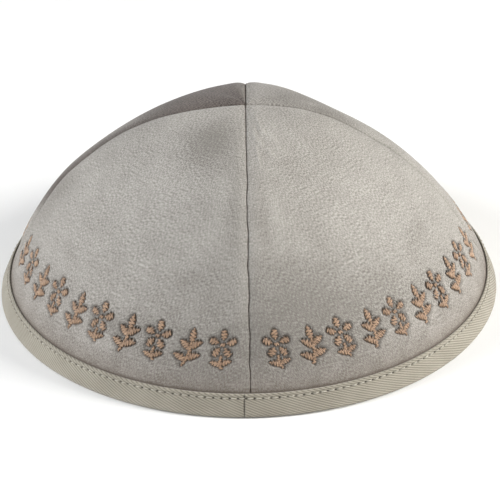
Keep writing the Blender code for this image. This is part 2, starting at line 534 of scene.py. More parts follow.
def write_points(mesh: bpy.types.Mesh, points: np.ndarray) -> None:
    """Move a mesh's points."""
    mesh.vertices.foreach_set("co", points.ravel())
    mesh.update()


def write_attribute(mesh: bpy.types.Mesh, name: str, values: np.ndarray) -> None:
    """Store one number for each point of a mesh."""
    attribute = mesh.attributes.new(name, "FLOAT", "POINT")
    attribute.data.foreach_set("value", values.astype(np.float32))


def write_uv(mesh: bpy.types.Mesh, places: np.ndarray) -> None:
    """Store a flat place for each corner of a mesh, in metres on the cloth."""
    layer = mesh.uv_layers.new(name="cloth")
    layer.uv.foreach_set("vector", places.astype(np.float32).ravel())


def corner_points(mesh: bpy.types.Mesh) -> np.ndarray:
    """Number of the point at each corner of a mesh's faces."""
    numbers = np.empty(len(mesh.loops), dtype=np.int32)
    mesh.loops.foreach_get("vertex_index", numbers)
    return numbers


def close_mesh(mesh: bpy.types.Mesh) -> None:
    """Weld a mesh's doubled points and turn its faces outwards."""
    bm = bmesh.new()
    bm.from_mesh(mesh)
    bmesh.ops.remove_doubles(bm, verts=bm.verts[:], dist=WELD_DISTANCE)
    bmesh.ops.recalc_face_normals(bm, faces=bm.faces[:])
    bm.to_mesh(mesh)
    bm.free()


def show(mesh: bpy.types.Mesh, material: bpy.types.Material) -> bpy.types.Object:
    """Put a mesh in the scene as a smooth piece.

    Args:
        mesh: The mesh, which also names the piece.
        material: Its finish.

    Returns:
        The piece.
    """
    mesh.shade_smooth()
    mesh.materials.append(material)
    piece = bpy.data.objects.new(mesh.name, mesh)
    bpy.context.scene.collection.objects.link(piece)
    LOG.info("%s: %d faces", piece.name, len(mesh.polygons))
    return piece


@dataclass(frozen=True)
class StrandTemplate:
    """A strand of unit length and radius along X, copied to make fields of stitches."""

    sides: int = 6
    rings: int = 5

    def shape(self) -> tuple[np.ndarray, list[tuple[int, ...]]]:
        """Points and faces of the strand, from x = -0.5 to 0.5."""
        bm = bmesh.new()
        bmesh.ops.create_cone(
            bm, cap_ends=True, cap_tris=False, segments=self.sides, radius1=1, radius2=1, depth=1
        )
        turned = Matrix.Rotation(QUARTER_TURN, 3, "Y")
        bmesh.ops.rotate(bm, cent=(0, 0, 0), matrix=turned, verts=bm.verts[:])
        for ring in range(1, self.rings):
            bmesh.ops.bisect_plane(
                bm,
                geom=bm.verts[:] + bm.edges[:] + bm.faces[:],
                dist=WELD_DISTANCE,
                plane_co=(ring / self.rings - 0.5, 0, 0),
                plane_no=(1, 0, 0),
            )
        bm.verts.index_update()
        points = np.array([vert.co[:] for vert in bm.verts])
        faces = [tuple(vert.index for vert in face.verts) for face in bm.faces]
        bm.free()
        return points, faces

    def field_mesh(self, name: str, places: np.ndarray, faces: list) -> bpy.types.Mesh:
        """Mesh of many copies of the strand.

        Args:
            name: Name of the mesh.
            places: Points of all copies, with axes of copy, point and coordinate.
            faces: Faces of one copy.

        Returns:
            The joined mesh.
        """
        copies, points = places.shape[:2]
        tiled = [
            tuple(number + copy * points for number in face)
            for copy in range(copies) for face in faces
        ]
        mesh = bpy.data.meshes.new(name)
        mesh.from_pydata(places.reshape(-1, 3).tolist(), [], tiled)
        return mesh


Colour = tuple[float, float, float]
Values = dict[str, object]
CURLS_PER_METRE = 130.0
CURL_SWAY = 1.8
CLUMP_WIDTH = 3.3
CLUMP_LENGTH = 2.2
STREAK_SHARE = 0.9


@dataclass
class Graph:
    """The nodes of one material or node group."""

    tree: bpy.types.NodeTree

    def add(self, kind: str, inputs: Values | None = None, **settings: object) -> bpy.types.Node:
        """Add a node.

        Args:
            kind: Its type, without ShaderNode in front.
            inputs: Values or sockets for its inputs, by name or number.
            settings: Its own settings.

        Returns:
            The node.
        """
        node = self.tree.nodes.new(kind if kind.startswith("NodeGroup") else f"ShaderNode{kind}")
        for name, value in settings.items():
            setattr(node, name, value)
        for name, value in (inputs or {}).items():
            self.feed(node.inputs[name], value)
        return node

    def feed(self, socket: bpy.types.NodeSocket, value: object) -> None:
        """Link a socket to an input, or set the input's own value."""
        if isinstance(value, bpy.types.NodeSocket):
            self.tree.links.new(value, socket)
        elif isinstance(value, tuple) and len(value) == 3 and socket.type == "RGBA":
            socket.default_value = (*value, 1.0)
        else:
            socket.default_value = value

    def math(self, operation: str, *terms: object, clamp: bool = False) -> bpy.types.NodeSocket:
        """Result of a Math node on up to three numbers or sockets."""
        inputs = dict(enumerate(terms))
        return self.add("Math", inputs, operation=operation, use_clamp=clamp).outputs[0]

    def ramp(self, value: object, low: float, high: float) -> bpy.types.NodeSocket:
        """Rise smoothly from 0 at low to 1 at high, or fall where high is the lower."""
        inputs = {"Value": value, "From Min": low, "From Max": high}
        return self.add("MapRange", inputs, interpolation_type="SMOOTHSTEP").outputs[0]

    def mix(self, share: object, low: object, high: object, blend: str = "MIX") -> bpy.types.NodeSocket:
        """Mix two colours, a share of the way from low to high."""
        node = self.add("Mix", data_type="RGBA", blend_type=blend)
        self.feed(node.inputs[0], share)
        self.feed(node.inputs[6], low)
        self.feed(node.inputs[7], high)
        return node.outputs[2]

    def scale(self, vector: object, *factors: float) -> bpy.types.NodeSocket:
        """A vector times three factors."""
        return self.add("VectorMath", {0: vector, 1: factors}, operation="MULTIPLY").outputs[0]

    def noise(self, vector: object, scale: float, detail: float = 2.0) -> bpy.types.NodeSocket:
        """Value of a noise texture, about 0.5 on average."""
        inputs = {"Vector": vector, "Scale": scale, "Detail": detail, "Roughness": 0.55}
        return self.add("TexNoise", inputs).outputs["Fac"]

    def attribute(self, name: str) -> bpy.types.NodeSocket:
        """Number stored at each point of a mesh."""
        return self.add("Attribute", attribute_name=name).outputs["Fac"]

    def cloth_place(self) -> bpy.types.NodeSocket:
        """Flat place on the cloth, in metres."""
        return self.add("UVMap", uv_map="cloth").outputs[0]


Wiring = Callable[[Graph, dict[str, bpy.types.NodeSocket]], Values]


def node_group(name: str, inputs: Values, outputs: Sequence[str], wire: Wiring) -> bpy.types.NodeTree:
    """Build a group that gives numbers which vary over a surface.

    Args:
        name: Name of the group.
        inputs: Names of its inputs with their first values; a tuple makes a vector input.
        outputs: Names of its outputs.
        wire: Adds the nodes and gives the socket that feeds each output.

    Returns:
        The group.
    """
    tree = bpy.data.node_groups.new(name, "ShaderNodeTree")
    for label, value in inputs.items():
        kind = "NodeSocketVector" if isinstance(value, tuple) else "NodeSocketFloat"
        socket = tree.interface.new_socket(label, in_out="INPUT", socket_type=kind)
        socket.default_value = value
    for label in outputs:
        tree.interface.new_socket(label, in_out="OUTPUT", socket_type="NodeSocketFloat")
    graph = Graph(tree)
    entry = graph.add("NodeGroupInput")
    given = {label: entry.outputs[label] for label in inputs}
    leave = graph.add("NodeGroupOutput")
    for label, socket in wire(graph, given).items():
        graph.feed(leave.inputs[label], socket)
    return tree


@dataclass
class Effects:
    """Effects that more than one cloth or thread shares, each a node group."""

    nap: bpy.types.NodeTree = field(init=False)
    mottle: bpy.types.NodeTree = field(init=False)
    twill: bpy.types.NodeTree = field(init=False)
    twist: bpy.types.NodeTree = field(init=False)

    def __post_init__(self) -> None:
        """Build the groups."""
        flat = (0.0, 0.0, 0.0)
        self.nap = node_group(
            "nap", {"Place": flat, "Width": 0.25, "Length": 0.75, "Lean": 0.32},
            ("Height", "Tone"), self.wire_nap
        )
        self.mottle = node_group(
            "mottle", {"Place": flat, "Size": 15.0}, ("Tone",), self.wire_mottle
        )
        self.twill = node_group(
            "twill", {"Place": flat, "Pitch": 0.85, "Slope": 0.4, "Yarn": 0.5},
            ("Height", "Tone"), self.wire_twill,
        )
        self.twist = node_group(
            "twist", {"Place": flat, "Pitch": 0.5}, ("Height", "Tone"), self.wire_twist
        )

    @staticmethod
    def wire_nap(graph: Graph, given: dict[str, bpy.types.NodeSocket]) -> Values:
        """Short streaks of pile that run down the cloth; widths and lengths are in millimetres."""
        x, y, _ = Effects.in_millimetres(graph, given["Place"])
        curl = graph.noise(graph.scale(given["Place"], CURLS_PER_METRE, CURLS_PER_METRE, 0.0), 1.0, 1.0)
        x = graph.math("MULTIPLY_ADD", curl, CURL_SWAY, x)
        x = graph.math("SUBTRACT", x, graph.math("MULTIPLY", y, given["Lean"]))
        streaks = graph.noise(Effects.joined(
            graph,
            graph.math("DIVIDE", x, given["Width"]),
            graph.math("DIVIDE", y, given["Length"]),
        ), 1.0, 0.6)
        clumps = graph.noise(Effects.joined(
            graph,
            graph.math("DIVIDE", x, graph.math("MULTIPLY", given["Width"], CLUMP_WIDTH)),
            graph.math("DIVIDE", y, graph.math("MULTIPLY", given["Length"], CLUMP_LENGTH)),
        ), 1.0)
        height = graph.math("ADD", graph.math("MULTIPLY", streaks, STREAK_SHARE),
                            graph.math("MULTIPLY", clumps, 1 - STREAK_SHARE))
        return {"Height": height, "Tone": graph.ramp(height, 0.36, 0.64)}

    @staticmethod
    def wire_mottle(graph: Graph, given: dict[str, bpy.types.NodeSocket]) -> Values:
        """Slow patches where the cloth was brushed another way; the size is in millimetres."""
        place = graph.add("VectorMath", {0: given["Place"], "Scale": 1000.0}, operation="SCALE")
        sized = graph.add(
            "VectorMath", {0: place.outputs[0], 1: given["Size"]}, operation="DIVIDE"
        )
        return {"Tone": graph.ramp(graph.noise(sized.outputs[0], 1.0, 1.2), 0.3, 0.7)}

    @staticmethod
    def wire_twill(graph: Graph, given: dict[str, bpy.types.NodeSocket]) -> Values:
        """Slanting ribs made of short floats of yarn; pitch and yarn are in millimetres."""
        x, y, _ = Effects.in_millimetres(graph, given["Place"])
        across = graph.math("ADD", y, graph.math("MULTIPLY", x, given["Slope"]))
        turn = graph.math("MULTIPLY", graph.math("DIVIDE", across, given["Pitch"]), TURN)
        rib = graph.math("POWER", graph.math("ABSOLUTE", graph.math(
            "COSINE", graph.math("MULTIPLY", turn, 0.5))), 0.6)
        yarn = graph.math("MULTIPLY", graph.math("DIVIDE", x, given["Yarn"]), TURN)
        floats = graph.math("MULTIPLY_ADD", graph.math(
            "SINE", graph.math("ADD", yarn, graph.math("MULTIPLY", turn, 0.5))), 0.12, 0.88)
        height = graph.math("MULTIPLY", rib, floats)
        return {"Height": height, "Tone": graph.ramp(height, 0.15, 0.85)}

    @staticmethod
    def wire_twist(graph: Graph, given: dict[str, bpy.types.NodeSocket]) -> Values:
        """Plies that wind round a thread; x runs along it in metres and y goes round it once."""
        x, _, y = Effects.in_millimetres(graph, given["Place"])
        turn = graph.math("MULTIPLY", graph.math(
            "ADD", graph.math("DIVIDE", x, given["Pitch"]), y), TURN)
        ply = graph.math("ABSOLUTE", graph.math("SINE", turn))
        return {"Height": ply, "Tone": graph.ramp(ply, 0.1, 0.8)}

    @staticmethod
    def in_millimetres(graph: Graph, place: bpy.types.NodeSocket) -> tuple:
        """The flat place's two parts in millimetres, and its second part as it is."""
        parts = graph.add("SeparateXYZ", {0: place})
        x = graph.math("MULTIPLY", parts.outputs[0], 1000.0)
        y = graph.math("MULTIPLY", parts.outputs[1], 1000.0)
        return x, y, parts.outputs[1]

    @staticmethod
    def joined(graph: Graph, x: object, y: object) -> bpy.types.NodeSocket:
        """A flat place from its two parts."""
        return graph.add("CombineXYZ", {0: x, 1: y}).outputs[0]


def new_material(name: str) -> tuple[bpy.types.Material, Graph, bpy.types.Node]:
    """A material with an empty Principled shader.

    Args:
        name: Its name.

    Returns:
        The material, its graph and the shader.
    """
    material = bpy.data.materials.new(name)
    material.use_nodes = True
    material.node_tree.nodes.clear()
    graph = Graph(material.node_tree)
    shader = graph.add("BsdfPrincipled")
    graph.add("OutputMaterial", {"Surface": shader.outputs[0]})
    return material, graph, shader


@dataclass(frozen=True)
class VelvetFinish:
    """Cut pile on the outside and a plain woven back on the inside."""

    effects: Effects
    light: Colour = (0.43, 0.412, 0.382)
    dark: Colour = (0.182, 0.17, 0.153)
    # Painted shade in the band just above the binding.
    hem: Colour = (0.125, 0.094, 0.072)
    # Painted shade on the back gores and in the recess round the embroidery.
    shaded: Colour = (0.125, 0.1, 0.09)
    shaded_dark: Colour = (0.03, 0.023, 0.02)
    # Painted shade in the seam clefts, along the top of the binding and round the embroidery.
    seam: Colour = (0.075, 0.053, 0.04)
    backing: Colour = (0.36, 0.33, 0.295)
    sheen: float = 0.1
    sheen_roughness: float = 0.5
    sheen_tint: Colour = (0.93, 0.92, 0.93)
    pile_depth: float = 0.22 * MM
    nap_share: float = 0.78
    broad_share: float = 0.14
    patch_share: float = 0.08
    hem_patches: float = 0.3
    brush_and_light_share: float = 0.3
    hem_shade_share: float = 0.75
    broad_size: float = 16.0
    patch_size: float = 5.0
    weave_pitch: float = 0.6

    def material(self) -> bpy.types.Material:
        """Build the velvet."""
        material, graph, shader = new_material("velvet")
        place = graph.cloth_place()
        solid = graph.add("TexCoord").outputs["Object"]
        inside = graph.attribute("inside")
        nap = graph.add("Group", node_tree=self.effects.nap)
        graph.feed(nap.inputs["Place"], place)
        broad = graph.add("Group", node_tree=self.effects.mottle)
        graph.feed(broad.inputs["Place"], solid)
        graph.feed(broad.inputs["Size"], self.broad_size)
        small = graph.add("Group", node_tree=self.effects.mottle)
        graph.feed(small.inputs["Place"], solid)
        graph.feed(small.inputs["Size"], self.patch_size)
        brushed_and_painted_light = graph.math("ADD", graph.math("MULTIPLY", nap.outputs["Tone"], self.nap_share),
                             graph.math("MULTIPLY", broad.outputs["Tone"], self.broad_share))
        patchy = graph.math(
            "MULTIPLY_ADD", graph.attribute("hem"), self.hem_patches, self.patch_share
        )
        patches = graph.math("SUBTRACT", small.outputs["Tone"], 0.5)
        brushed_and_painted_light = graph.math("ADD", graph.math("MULTIPLY_ADD", patches, patchy, brushed_and_painted_light),
                             self.patch_share / 2)
        # The attribute adds brushed pile, painted shade, and painted highlights and shade on the
        # creases.
        brushed_and_painted_light = graph.math(
            "MULTIPLY_ADD", graph.attribute("brush_and_light"), self.brush_and_light_share, brushed_and_painted_light, clamp=True
        )
        pile = graph.mix(brushed_and_painted_light, self.dark, self.light)
        # Painted shade in the band just above the binding.
        painted_shade_share = graph.math("MULTIPLY", graph.attribute("hem"), self.hem_shade_share)
        pile = graph.mix(painted_shade_share, pile, self.hem)
        # Painted shade on the back gores and in the recess round the embroidery.
        shaded = graph.mix(brushed_and_painted_light, self.shaded_dark, self.shaded)
        pile = graph.mix(graph.attribute("shade"), pile, shaded)
        # Painted shade in the seam clefts, along the top of the binding and round the embroidery.
        pile = graph.mix(graph.attribute("cleft"), pile, self.seam)
        woven = graph.add("Group", node_tree=self.effects.twill)
        graph.feed(woven.inputs["Place"], place)
        graph.feed(woven.inputs["Pitch"], self.weave_pitch)
        graph.feed(woven.inputs["Slope"], 0.0)
        graph.feed(woven.inputs["Yarn"], self.weave_pitch)
        back = graph.mix(graph.math("MULTIPLY", woven.outputs["Tone"], 0.35),
                         self.dark, self.backing)
        graph.feed(shader.inputs["Base Color"], graph.mix(inside, pile, back))
        relief = graph.mix(inside, nap.outputs["Height"], woven.outputs["Height"])
        bump = graph.add("Bump", {"Height": relief, "Distance": self.pile_depth, "Strength": 1.0})
        graph.feed(shader.inputs["Normal"], bump.outputs[0])
        graph.feed(shader.inputs["Roughness"], 0.95)
        graph.feed(shader.inputs["Specular IOR Level"], 0.15)
        graph.feed(shader.inputs["Sheen Weight"], self.sheen)
        graph.feed(shader.inputs["Sheen Roughness"], self.sheen_roughness)
        graph.feed(shader.inputs["Sheen Tint"], self.sheen_tint)
        return material


@dataclass(frozen=True)
class TapeFinish:
    """Cotton twill with slanting ribs, with painted shade in its needle holes and at its join."""

    effects: Effects
    light: Colour = (0.345, 0.32, 0.265)
    dark: Colour = (0.155, 0.137, 0.105)
    hole: Colour = (0.03, 0.024, 0.02)
    rib_pitch: float = 0.85
    rib_slope: float = 0.42
    yarn: float = 0.55
    rib_depth: float = 0.16 * MM
    soil_share: float = 0.16
    soil_size: float = 9.0

    def material(self) -> bpy.types.Material:
        """Build the twill."""
        material, graph, shader = new_material("twill_tape")
        twill = graph.add("Group", node_tree=self.effects.twill)
        graph.feed(twill.inputs["Place"], graph.cloth_place())
        graph.feed(twill.inputs["Pitch"], self.rib_pitch)
        graph.feed(twill.inputs["Slope"], self.rib_slope)
        graph.feed(twill.inputs["Yarn"], self.yarn)
        soiled = graph.add("Group", node_tree=self.effects.mottle)
        graph.feed(soiled.inputs["Place"], graph.add("TexCoord").outputs["Object"])
        graph.feed(soiled.inputs["Size"], self.soil_size)
        tone = graph.math("MULTIPLY_ADD", soiled.outputs["Tone"], self.soil_share,
                          graph.math("MULTIPLY", twill.outputs["Tone"], 1 - self.soil_share))
        cloth = graph.mix(tone, self.dark, self.light)
        # Painted shade in the needle holes and at the join.
        graph.feed(shader.inputs["Base Color"], graph.mix(graph.attribute("hole"), cloth, self.hole))
        bump = graph.add("Bump", {
            "Height": twill.outputs["Height"], "Distance": self.rib_depth, "Strength": 1.0,
        })
        graph.feed(shader.inputs["Normal"], bump.outputs[0])
        graph.feed(shader.inputs["Roughness"], 0.88)
        graph.feed(shader.inputs["Specular IOR Level"], 0.2)
        graph.feed(shader.inputs["Sheen Weight"], 0.2)
        graph.feed(shader.inputs["Sheen Roughness"], 0.5)
        return material


@dataclass(frozen=True)
class ThreadFinish:
    """A plied thread, with a tone for each stitch and shadow where it sinks in."""

    effects: Effects
    name: str
    light: Colour
    dark: Colour
    sunk: Colour
    ply_pitch: float = 0.6
    roughness: float = 0.5
    ply_depth: float = 0.03 * MM

    def material(self) -> bpy.types.Material:
        """Build the thread."""
        material, graph, shader = new_material(self.name)
        twist = graph.add("Group", node_tree=self.effects.twist)
        graph.feed(twist.inputs["Place"], graph.cloth_place())
        graph.feed(twist.inputs["Pitch"], self.ply_pitch)
        tone = graph.math("MULTIPLY_ADD", graph.attribute("tone"), 0.8,
                          graph.math("MULTIPLY", twist.outputs["Tone"], 0.2))
        thread = graph.mix(tone, self.dark, self.light)
        graph.feed(shader.inputs["Base Color"], graph.mix(graph.attribute("sunk"), thread, self.sunk))
        bump = graph.add("Bump", {
            "Height": twist.outputs["Height"], "Distance": self.ply_depth, "Strength": 0.8,
        })
        graph.feed(shader.inputs["Normal"], bump.outputs[0])
        graph.feed(shader.inputs["Roughness"], self.roughness)
        graph.feed(shader.inputs["Sheen Weight"], 0.15)
        return material


class BrushAndShadeMark(NamedTuple):
    """A patch of lighter or darker pile, in millimetres on one gore; some are brushed pile and some
    painted shade.
    """

    gore: str
    along: float
    climb: float
    half_width: float
    half_height: float
    tone: float


BRUSH_AND_SHADE_MARKS = (
    BrushAndShadeMark("front_left", 4, 24.5, 7, 1.9, -0.8),
    BrushAndShadeMark("front_left", 13, 22, 6, 1.9, -0.8),
    BrushAndShadeMark("front_left", 11, 16.8, 8, 2.2, 0.7),
    BrushAndShadeMark("front_left", -18, 31.5, 16, 3.0, 0.5),
    BrushAndShadeMark("front_left", 22, 31, 12, 2.5, 0.35),
    BrushAndShadeMark("front_left", 32, 42, 4.0, 3.5, -0.3),
    BrushAndShadeMark("front_left", 49, 72, 4.0, 17, -0.5),
    BrushAndShadeMark("front_left", 39, 66, 4.0, 10, 0.35),
    # Painted shade on the top of the front left gore.
    BrushAndShadeMark("front_left", 20, 96, 26, 12, -1.5),
    BrushAndShadeMark("front_right", 53, 27, 3.5, 3.5, -0.7),
    BrushAndShadeMark("front_right", -24, 41, 7, 3.0, -0.7),
    BrushAndShadeMark("front_right", 30, 33.5, 7, 3.0, -0.5),
    BrushAndShadeMark("front_right", 47, 61, 4.5, 10, -0.6),
    BrushAndShadeMark("front_right", 38, 67, 3.5, 8, 0.45),
    BrushAndShadeMark("front_right", 24, 101, 11, 6, 0.5),
    BrushAndShadeMark("front_right", 7, 18, 13, 2.6, 0.6),
    # Painted shade over the lower front of both front gores.
    BrushAndShadeMark("front_left", 40, 26, 30, 13, -0.7),
    BrushAndShadeMark("front_right", 40, 30, 30, 16, -1.35),
    BrushAndShadeMark("front_left", 57, 20, 6, 16, -0.6),
    BrushAndShadeMark("front_right", 58, 18, 6, 10, -0.6),
    BrushAndShadeMark("front_left", -20, 29, 30, 10, -0.35),
    BrushAndShadeMark("front_right", -14, 32, 26, 10, -0.45),
    BrushAndShadeMark("front_left", -51, 44, 9, 12, -1.3),
    BrushAndShadeMark("front_left", -8, 62, 34, 24, 0.25),
    BrushAndShadeMark("front_right", -2, 58, 34, 24, 0.2),
    # Painted shade near the apex of the back right gore.
    BrushAndShadeMark("back_right", -24, 100, 30, 12, -1.0),
    BrushAndShadeMark("back_right", -52, 89, 12, 12, -0.8),
    BrushAndShadeMark("back_right", -38, 95, 7, 3, 0.9),
    BrushAndShadeMark("back_left", 20, 60, 12, 9, -0.4),
    BrushAndShadeMark("back_left", -14, 34, 10, 5, 0.5),
    BrushAndShadeMark("back_right", -18, 48, 14, 6, -0.4),
    BrushAndShadeMark("back_right", 25, 80, 12, 12, 0.4),
)


class Crease(NamedTuple):
    """A small fold of crushed pile on the front right gore, from end to end in millimetres."""

    along: float
    climb: float
    along_end: float
    climb_end: float
    rise: float


CREASES = (
    Crease(40, 113, 32, 106, 0.42),
    Crease(50, 101, 39, 93.5, 0.42),
    Crease(41, 107, 40, 99, -0.25),
    Crease(27, 99.5, 22, 95, 0.36),
    Crease(37, 105, 30, 98, 0.34),
    Crease(40, 96, 27, 86, 0.36),
    Crease(34, 98, 37, 90, -0.2),
    Crease(19, 107, 16, 101, 0.3),
    Crease(47, 95, 44, 85, 0.3),
    Crease(24, 92, 18, 86, 0.26),
)
CREASE_WIDTH = 1.0
# Painted highlight on the crease ridges and painted shade in their troughs, for each millimetre of rise.
CREASE_PAINTED_LIGHT = 1.6


@dataclass(frozen=True)
class VelvetGore:
    """One velvet gore, a closed wall with its seam edges rolled in and its pile worked round threads."""

    gore: Gore
    shape: CrownShape
    border: BorderPlan
    hem: float = 1.0 * MM
    columns: int = 250
    rows: int = 132
    recess: float = 0.42 * MM
    edge_crowding: float = 5.0
    border_crowding: float = 2.6
    ridge: float = 0.12 * MM
    swell_height: float = 0.11 * MM
    seam_lap: float = 0.3 * MM
    seam_slump: float = 0.7 * MM
    # Painted shade in the recess round the embroidery.
    pressed_shade_tone: float = 0.2
    # Painted shadow along the edges of the embroidery and along the top of the binding.
    outline_shadow_tone: float = 0.6
    tape_edge_shadow_tone: float = 0.4
    tape_edge: float = 8.5 * MM
    tape_top: float = 8.3 * MM
    # Painted shade on the back gores.
    back_left_shade: float = 0.88
    back_right_shade: float = 0.16

    def climbs(self) -> np.ndarray:
        """Ways up the front seam of the rows, close together along the border."""
        start = float(self.shape.climb_at(self.start_position()))
        end = float(self.shape.climb_at(np.array(float(APEX_LEVEL))))
        middle = self.shape.border_mid - start

        def density(climb: np.ndarray) -> np.ndarray:
            """More rows in the border, and a few more just above the binding."""
            band = np.exp(-(((climb - middle) / (8.5 * MM)) ** 4))
            foot = np.exp(-climb / (6 * MM))
            return 1 + self.border_crowding * band + foot

        return start + spread(self.rows, end - start, density)

    def start_position(self) -> np.ndarray:
        """Position along the crown's table of the gore's lower edge."""
        position, _ = self.shape.climb_table()
        height = self.shape.levels(position)[:, 0] * self.shape.crown_height
        return np.interp(self.hem, height, position)

    def turns(self) -> np.ndarray:
        """Turns of the columns, close together beside both seams."""
        width = self.shape.border_width(self.gore)

        def density(way: np.ndarray) -> np.ndarray:
            """More columns beside the seams."""
            from_seam = np.minimum(way, width - way)
            return 1 + self.edge_crowding * np.exp(-from_seam / (1.1 * MM))

        way = spread(self.columns, width, density)
        return self.shape.turn_at(self.gore, way - width / 2)

    def relief(self, turn: np.ndarray, climb: np.ndarray, near: np.ndarray) -> np.ndarray:
        """How far the pile stands proud of, or below, the plain wall.

        Args:
            turn: 0 on the seam along X to 1 on the seam along Y.
            climb: Way up from the rim plane.
            near: Distance to the embroidery.

        Returns:
            Heights in metres.
        """
        sunk = self.recess * (1 - smooth_step(0.12 * MM, 0.8 * MM, near))
        rim = self.ridge * np.exp(-(((near - 1.2 * MM) / (0.6 * MM)) ** 2))
        phase = 1.7 * self.gore.side_x + 0.9 * self.gore.side_y
        swell = (
            np.sin(9.0 * turn + 55 * climb + phase)
            + 0.7 * np.sin(17.0 * turn - 92 * climb + 2.1 * phase)
            + 0.5 * np.sin(5.0 * turn + 150 * climb - phase)
        )
        calm = smooth_step(8 * MM, 22 * MM, climb) * np.sin(math.pi * turn) ** 0.5
        return rim - sunk + self.swell_height * swell * calm + self.creases(turn, climb) * MM

    def creases(self, turn: np.ndarray, climb: np.ndarray) -> np.ndarray:
        """Rise of the small folds of crushed pile.

        Args:
            turn: 0 on the seam along X to 1 on the seam along Y.
            climb: Way up from the rim plane.

        Returns:
            Heights in millimetres.
        """
        rise = np.zeros_like(turn)
        if self.gore.name != "front_right":
            return rise
        along = self.shape.along_at(self.gore, turn) / MM
        # The gore narrows on the way up, so a step along counts for less than one at the border.
        narrowing = 0.5
        for crease in CREASES:
            run = np.array(((crease.along_end - crease.along) * narrowing,
                            crease.climb_end - crease.climb))
            way = np.stack(((along - crease.along) * narrowing, climb / MM - crease.climb), axis=-1)
            share = np.clip(way @ run / (run @ run), 0, 1)
            aside = np.linalg.norm(way - share[..., None] * run, axis=-1)
            swelling = 0.35 + 0.65 * np.sin(math.pi * share)
            rise += crease.rise * swelling * np.exp(-((aside / CREASE_WIDTH) ** 2))
        return rise

    def overlap(self, turn: np.ndarray, climb: np.ndarray) -> np.ndarray:
        """How far the wall stands out or in where the front gore laps the left seam.

        Args:
            turn: 0 on the seam along X to 1 on the seam along Y.
            climb: Way up from the rim plane.

        Returns:
            Heights in metres, positive outwards.
        """
        if self.gore.side_x > 0:
            return np.zeros_like(turn)
        from_seam = turn * self.shape.border_width(self.gore)
        stretch = smooth_step(36 * MM, 52 * MM, climb) * (1 - smooth_step(84 * MM, 98 * MM, climb))
        if self.gore.side_y < 0:
            return self.seam_lap * stretch * np.exp(-((from_seam / (6 * MM)) ** 2))
        return -self.seam_slump * stretch * np.exp(-((from_seam / (11 * MM)) ** 2))

    def brushing_and_shading(self, along: np.ndarray, climb: np.ndarray) -> np.ndarray:
        """How much lighter or darker the pile is, from brushing and from painted shade.

        Args:
            along: Way along the border from the gore's middle.
            climb: Way up from the rim plane.

        Returns:
            Tones, positive where it is lighter.
        """
        tone = np.zeros_like(along)
        for mark in BRUSH_AND_SHADE_MARKS:
            if mark.gore == self.gore.name:
                aside = (along / MM - mark.along) / mark.half_width
                above = (climb / MM - mark.climb) / mark.half_height
                tone += mark.tone * np.exp(-(aside**2) - above**2)
        return tone

    def crown_shade(self, along: np.ndarray, climb: np.ndarray) -> np.ndarray:
        """Painted shade on the pile near the apex and the left seam of the back gores.

        Args:
            along: Way along the border from the gore's middle.
            climb: Way up from the rim plane.

        Returns:
            Shares of the shaded colour.
        """
        if self.gore.name == "back_right":
            return self.back_right_shade * smooth_step(70 * MM, 95 * MM, climb)
        if self.gore.name != "back_left":
            return np.zeros_like(along)
        near_apex = smooth_step(60 * MM, 100 * MM, climb)
        near_seam = 1 - smooth_step(-58 * MM, -30 * MM, along)
        from_seam = along + self.shape.border_width(self.gore) / 2
        lit_edge = 1 - 0.55 * np.exp(-from_seam / (0.8 * MM))
        painted_shade_share = 1 - 0.45 * smooth_step(36 * MM, 60 * MM, along)
        shaded = np.maximum(near_apex, near_seam * smooth_step(25 * MM, 45 * MM, climb))
        return self.back_left_shade * lit_edge * painted_shade_share * shaded

    def build(self) -> bpy.types.Mesh:
        """Model the gore as a grid drawn out into a wall and bent to the crown."""
        bm = bmesh.new()
        bmesh.ops.create_grid(bm, x_segments=self.columns, y_segments=self.rows, size=0.5)
        drawn = bmesh.ops.extrude_face_region(bm, geom=bm.faces[:])
        inner = [item for item in drawn["geom"] if isinstance(item, bmesh.types.BMVert)]
        bmesh.ops.translate(bm, verts=inner, vec=(0, 0, -1))
        mesh = bpy.data.meshes.new(f"velvet_{self.gore.name}")
        bm.to_mesh(mesh)
        bm.free()

        grid = read_points(mesh)
        column = np.rint((grid[:, 0] + 0.5) * self.columns).astype(int)
        row = np.rint((grid[:, 1] + 0.5) * self.rows).astype(int)
        inside = (grid[:, 2] < -0.5).astype(float)
        turn = self.turns()[column]
        climb = self.climbs()[row]
        position = np.minimum(self.shape.position_at(climb), float(APEX_LEVEL))
        along = self.shape.along_at(self.gore, turn)
        near = self.border.distance(self.gore, along, climb)
        lift = self.relief(turn, climb, near) * (1 - inside) + self.overlap(turn, climb)
        points = self.shape.place(
            self.gore, position, turn, lift, inside * self.shape.velvet_thickness
        )
        write_points(mesh, points)
        reach_x, reach_y, _ = self.shape.section(self.gore, position, turn)
        from_seam = np.minimum(reach_x, reach_y)
        width = np.hypot(reach_x, reach_y) * QUARTER_TURN
        flat = np.stack(((turn - 0.5) * width, climb), axis=-1)
        write_uv(mesh, flat[corner_points(mesh)])
        write_attribute(mesh, "inside", inside)
        # Painted shade: the pile darkens just above the binding and fades upwards.
        above_tape = np.maximum(climb - self.tape_top, 0)
        painted_shade_share = 0.3 * np.exp(-above_tape / (2.2 * MM)) + 0.5 * np.exp(-above_tape / (11 * MM))
        write_attribute(mesh, "hem", painted_shade_share)
        # Painted shade in the recess round the embroidery.
        pressed_shade = self.pressed_shade_tone * (1 - smooth_step(0.1 * MM, 1.0 * MM, near))
        shade = np.maximum(pressed_shade, self.crown_shade(along, climb))
        write_attribute(mesh, "shade", shade * (1 - inside))
        # Brushed pile and painted shade, with painted highlights on the crease ridges and painted shade
        # in their troughs.
        brushed_and_painted_light = self.brushing_and_shading(along, climb) + CREASE_PAINTED_LIGHT * self.creases(turn, climb)
        write_attribute(mesh, "brush_and_light", brushed_and_painted_light)
